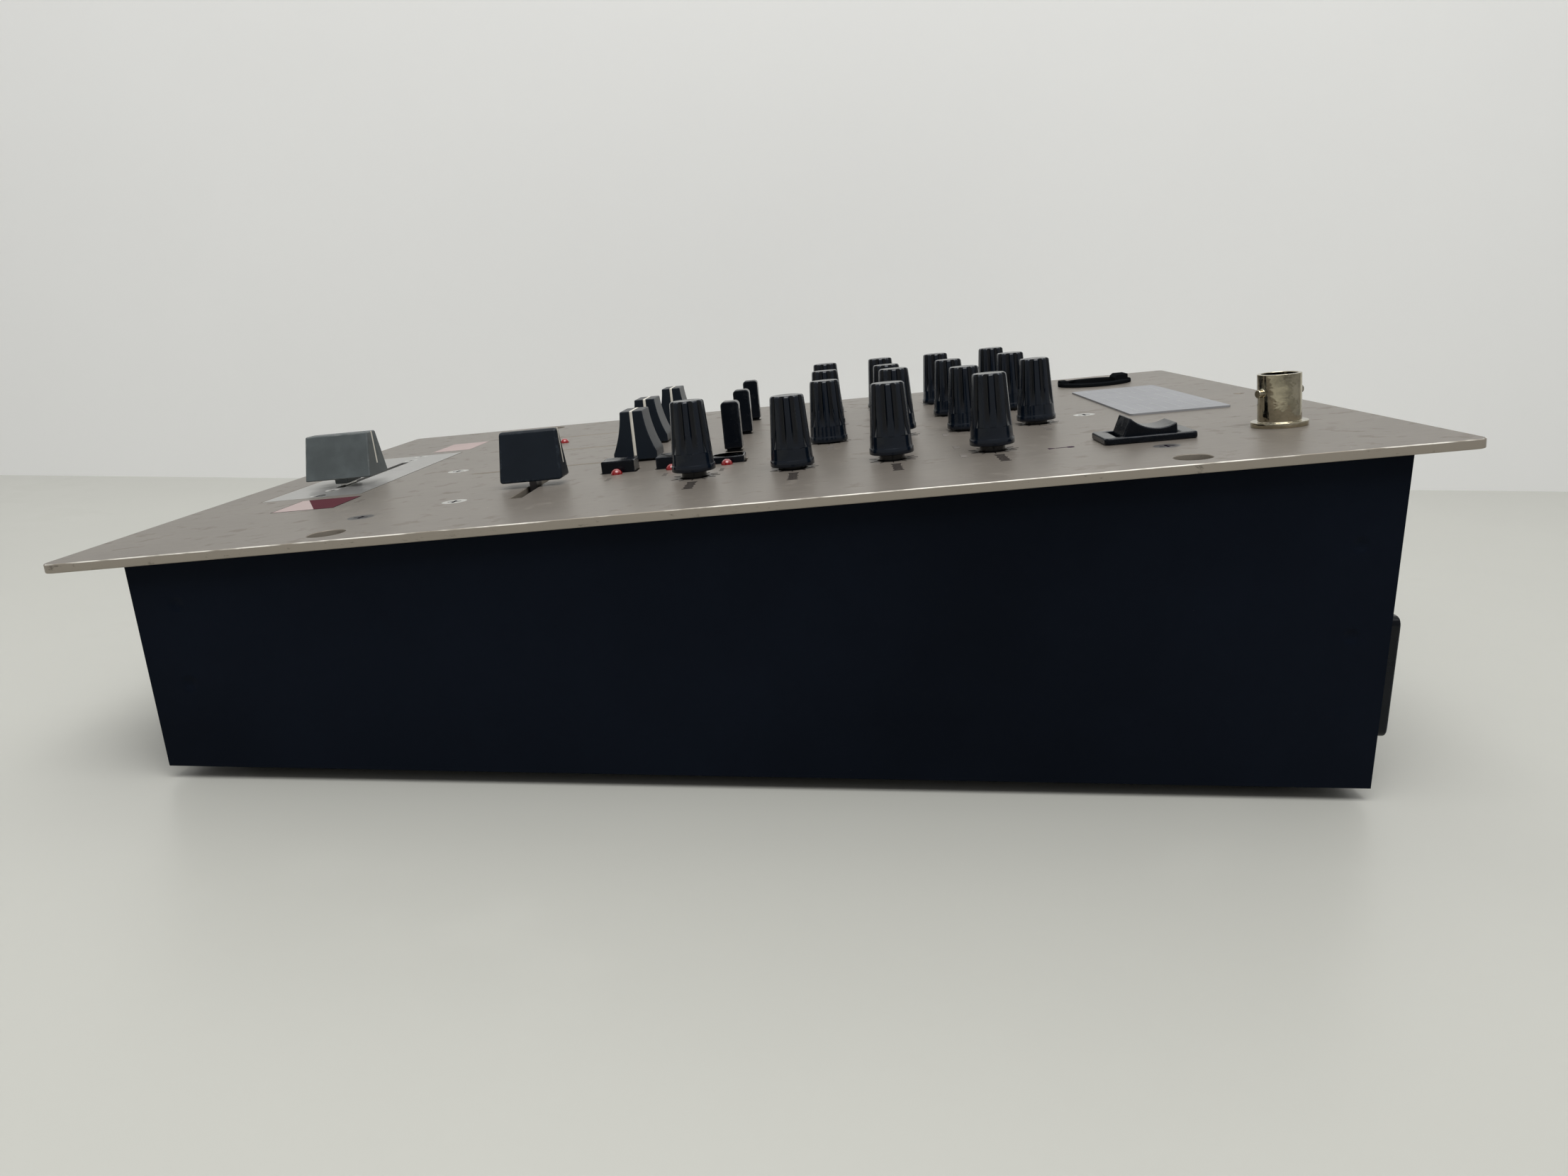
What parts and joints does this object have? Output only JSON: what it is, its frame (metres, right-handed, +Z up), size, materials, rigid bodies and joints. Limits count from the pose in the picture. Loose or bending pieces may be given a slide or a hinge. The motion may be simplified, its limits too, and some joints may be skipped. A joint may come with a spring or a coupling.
{
  "type": "dj mixer",
  "caption": "Sloped tabletop disc mixer: sheet steel case, brushed top plate, rows of knobs, slide faders, crossfader, cue buttons and sockets.",
  "frame": {"origin": "on the table under the middle of the mixer's overall box", "axes": "+X to the user's right, -Y to the user (crossfader end), +Z up; the top plate rises 5.7 degrees to the rear"},
  "size_m": [0.235, 0.2938, 0.0887],
  "materials": {
    "top_plate": "brushed front to back, clear anodised, worn",
    "light_plate": "light silver, satin",
    "label_grey": "light grey film",
    "case_paint": "semi-gloss blue-black paint",
    "black_rubber": "matt",
    "black_steel": "blackened steel",
    "zinc_steel": "bright zinc",
    "pot_case": "moulded",
    "fader_case": "folded sheet",
    "switch_case": "moulded",
    "led_red": "translucent red epoxy",
    "black_plastic": "semi-gloss",
    "knob_plastic": "semi-gloss, bluish black",
    "worn_cap": "dusty, worn",
    "lamp_metal": "worn nickel over brass",
    "insulator": "white",
    "socket_black": "moulded",
    "phono_metal": "nickel plated",
    "board_green": "solder mask",
    "core_steel": "laminated"
  },
  "bodies": {
    "case": {"face_plate": "top_plate", "crossfader_plate": "light_plate", "label_panel": "label_grey", "chassis_tray": "case_paint", "front_panel": "case_paint", "rear_panel": "case_paint", "case_rivets": "case_paint", "feet": "black_rubber", "case_screws": "black_steel", "silver_screws": "zinc_steel", "pot_bodies": "pot_case", "fader_bodies": "fader_case", "button_bodies": "switch_case", "leds": "led_red", "toggle_bodies": "switch_case", "rocker_housing": "black_plastic", "lamp_socket_shell": "lamp_metal", "lamp_socket_core": "insulator", "mic_socket_shell": "socket_black", "mic_socket_core": "socket_black", "mains_inlet": "black_plastic", "phono_jacks": "phono_metal", "headphone_jack": "socket_black", "main_board": "board_green", "inner_brackets": "zinc_steel", "transformer": "core_steel"},
    "master_knob_1": {"master_knob_1": "knob_plastic"},
    "master_knob_2": {"master_knob_2": "knob_plastic"},
    "master_knob_3": {"master_knob_3": "knob_plastic"},
    "master_knob_4": {"master_knob_4": "knob_plastic"},
    "channel_1_knob_1": {"channel_1_knob_1": "knob_plastic"},
    "channel_1_knob_2": {"channel_1_knob_2": "knob_plastic"},
    "channel_1_knob_3": {"channel_1_knob_3": "knob_plastic"},
    "channel_1_knob_4": {"channel_1_knob_4": "knob_plastic"},
    "channel_2_knob_1": {"channel_2_knob_1": "knob_plastic"},
    "channel_2_knob_2": {"channel_2_knob_2": "knob_plastic"},
    "channel_2_knob_3": {"channel_2_knob_3": "knob_plastic"},
    "channel_2_knob_4": {"channel_2_knob_4": "knob_plastic"},
    "channel_3_knob_1": {"channel_3_knob_1": "knob_plastic"},
    "channel_3_knob_2": {"channel_3_knob_2": "knob_plastic"},
    "channel_3_knob_3": {"channel_3_knob_3": "knob_plastic"},
    "channel_3_knob_4": {"channel_3_knob_4": "knob_plastic"},
    "channel_fader_1": {"channel_fader_cap_1": "knob_plastic", "channel_fader_lever_1": "zinc_steel"},
    "channel_fader_2": {"channel_fader_cap_2": "knob_plastic", "channel_fader_lever_2": "zinc_steel"},
    "channel_fader_3": {"channel_fader_cap_3": "knob_plastic", "channel_fader_lever_3": "zinc_steel"},
    "monitor_fader": {"monitor_fader_cap": "knob_plastic", "monitor_fader_lever": "zinc_steel"},
    "crossfader": {"crossfader_cap": "worn_cap", "crossfader_lever": "zinc_steel"},
    "toggle_1": {"toggle_1": "black_plastic"},
    "toggle_2": {"toggle_2": "black_plastic"},
    "toggle_3": {"toggle_3": "black_plastic"},
    "cue_button_1": {"cue_button_1": "black_plastic"},
    "cue_button_2": {"cue_button_2": "black_plastic"},
    "cue_button_3": {"cue_button_3": "black_plastic"},
    "rocker": {"rocker": "black_plastic"},
    "mic_latch": {"mic_latch": "black_steel"}
  },
  "joints": [
    {"name": "master_knob_1_turn", "type": "hinge", "parent": "case", "child": "master_knob_1", "pos_m": [0.0705, -0.01423, 0.0618], "axis": [0, -0.0993, 0.9951], "range_deg": [-150, 150]},
    {"name": "master_knob_2_turn", "type": "hinge", "parent": "case", "child": "master_knob_2", "pos_m": [0.0705, 0.00945, 0.06416], "axis": [0, -0.0993, 0.9951], "range_deg": [-150, 150]},
    {"name": "master_knob_3_turn", "type": "hinge", "parent": "case", "child": "master_knob_3", "pos_m": [0.0705, 0.03314, 0.06652], "axis": [0, -0.0993, 0.9951], "range_deg": [-150, 150]},
    {"name": "master_knob_4_turn", "type": "hinge", "parent": "case", "child": "master_knob_4", "pos_m": [0.0705, 0.05682, 0.06889], "axis": [0, -0.0993, 0.9951], "range_deg": [-150, 150]},
    {"name": "channel_1_knob_1_turn", "type": "hinge", "parent": "case", "child": "channel_1_knob_1", "pos_m": [0.023, 0.01811, 0.06502], "axis": [0, -0.0993, 0.9951], "range_deg": [-150, 150]},
    {"name": "channel_1_knob_2_turn", "type": "hinge", "parent": "case", "child": "channel_1_knob_2", "pos_m": [0.023, 0.03712, 0.06692], "axis": [0, -0.0993, 0.9951], "range_deg": [-150, 150]},
    {"name": "channel_1_knob_3_turn", "type": "hinge", "parent": "case", "child": "channel_1_knob_3", "pos_m": [0.023, 0.05612, 0.06882], "axis": [0, -0.0993, 0.9951], "range_deg": [-150, 150]},
    {"name": "channel_1_knob_4_turn", "type": "hinge", "parent": "case", "child": "channel_1_knob_4", "pos_m": [0.023, 0.07513, 0.07072], "axis": [0, -0.0993, 0.9951], "range_deg": [-150, 150]},
    {"name": "channel_2_knob_1_turn", "type": "hinge", "parent": "case", "child": "channel_2_knob_1", "pos_m": [-0.021, 0.01811, 0.06502], "axis": [0, -0.0993, 0.9951], "range_deg": [-150, 150]},
    {"name": "channel_2_knob_2_turn", "type": "hinge", "parent": "case", "child": "channel_2_knob_2", "pos_m": [-0.021, 0.03712, 0.06692], "axis": [0, -0.0993, 0.9951], "range_deg": [-150, 150]},
    {"name": "channel_2_knob_3_turn", "type": "hinge", "parent": "case", "child": "channel_2_knob_3", "pos_m": [-0.021, 0.05612, 0.06882], "axis": [0, -0.0993, 0.9951], "range_deg": [-150, 150]},
    {"name": "channel_2_knob_4_turn", "type": "hinge", "parent": "case", "child": "channel_2_knob_4", "pos_m": [-0.021, 0.07513, 0.07072], "axis": [0, -0.0993, 0.9951], "range_deg": [-150, 150]},
    {"name": "channel_3_knob_1_turn", "type": "hinge", "parent": "case", "child": "channel_3_knob_1", "pos_m": [-0.065, 0.01811, 0.06502], "axis": [0, -0.0993, 0.9951], "range_deg": [-150, 150]},
    {"name": "channel_3_knob_2_turn", "type": "hinge", "parent": "case", "child": "channel_3_knob_2", "pos_m": [-0.065, 0.03712, 0.06692], "axis": [0, -0.0993, 0.9951], "range_deg": [-150, 150]},
    {"name": "channel_3_knob_3_turn", "type": "hinge", "parent": "case", "child": "channel_3_knob_3", "pos_m": [-0.065, 0.05612, 0.06882], "axis": [0, -0.0993, 0.9951], "range_deg": [-150, 150]},
    {"name": "channel_3_knob_4_turn", "type": "hinge", "parent": "case", "child": "channel_3_knob_4", "pos_m": [-0.065, 0.07513, 0.07072], "axis": [0, -0.0993, 0.9951], "range_deg": [-150, 150]},
    {"name": "channel_fader_1_slide", "type": "slide", "parent": "case", "child": "channel_fader_1", "axis": [0, 0.9951, 0.0993], "range_m": [-0.045, 0]},
    {"name": "channel_fader_2_slide", "type": "slide", "parent": "case", "child": "channel_fader_2", "axis": [0, 0.9951, 0.0993], "range_m": [-0.042, 0.003]},
    {"name": "channel_fader_3_slide", "type": "slide", "parent": "case", "child": "channel_fader_3", "axis": [0, 0.9951, 0.0993], "range_m": [-0.0445, 0.0005]},
    {"name": "monitor_fader_slide", "type": "slide", "parent": "case", "child": "monitor_fader", "axis": [1, 0, 0], "range_m": [-0.0175, 0.0175]},
    {"name": "crossfader_slide", "type": "slide", "parent": "case", "child": "crossfader", "axis": [1, 0, 0], "range_m": [-0.0425, 0.0025]},
    {"name": "toggle_1_tilt", "type": "hinge", "parent": "case", "child": "toggle_1", "pos_m": [0.023, -0.00776, 0.05742], "axis": [0, 0.9951, 0.0993], "range_deg": [-10, 10]},
    {"name": "toggle_2_tilt", "type": "hinge", "parent": "case", "child": "toggle_2", "pos_m": [-0.021, -0.00776, 0.05742], "axis": [0, 0.9951, 0.0993], "range_deg": [-10, 10]},
    {"name": "toggle_3_tilt", "type": "hinge", "parent": "case", "child": "toggle_3", "pos_m": [-0.065, -0.00776, 0.05742], "axis": [0, 0.9951, 0.0993], "range_deg": [-10, 10]},
    {"name": "cue_button_1_press", "type": "slide", "parent": "case", "child": "cue_button_1", "axis": [0, -0.0993, 0.9951], "range_m": [-0.0014, 0], "stiffness_N_per_m": 150, "springref_m": 0.001},
    {"name": "cue_button_2_press", "type": "slide", "parent": "case", "child": "cue_button_2", "axis": [0, -0.0993, 0.9951], "range_m": [-0.0014, 0], "stiffness_N_per_m": 150, "springref_m": 0.001},
    {"name": "cue_button_3_press", "type": "slide", "parent": "case", "child": "cue_button_3", "axis": [0, -0.0993, 0.9951], "range_m": [0, 0.0014]},
    {"name": "rocker_tilt", "type": "hinge", "parent": "case", "child": "rocker", "pos_m": [0.0733, 0.0915, 0.07084], "axis": [1, 0, 0], "range_deg": [0, 20]},
    {"name": "mic_latch_press", "type": "slide", "parent": "case", "child": "mic_latch", "axis": [0, -0.0993, 0.9951], "range_m": [-0.0015, 0], "stiffness_N_per_m": 200, "springref_m": 0.001}
  ]
}
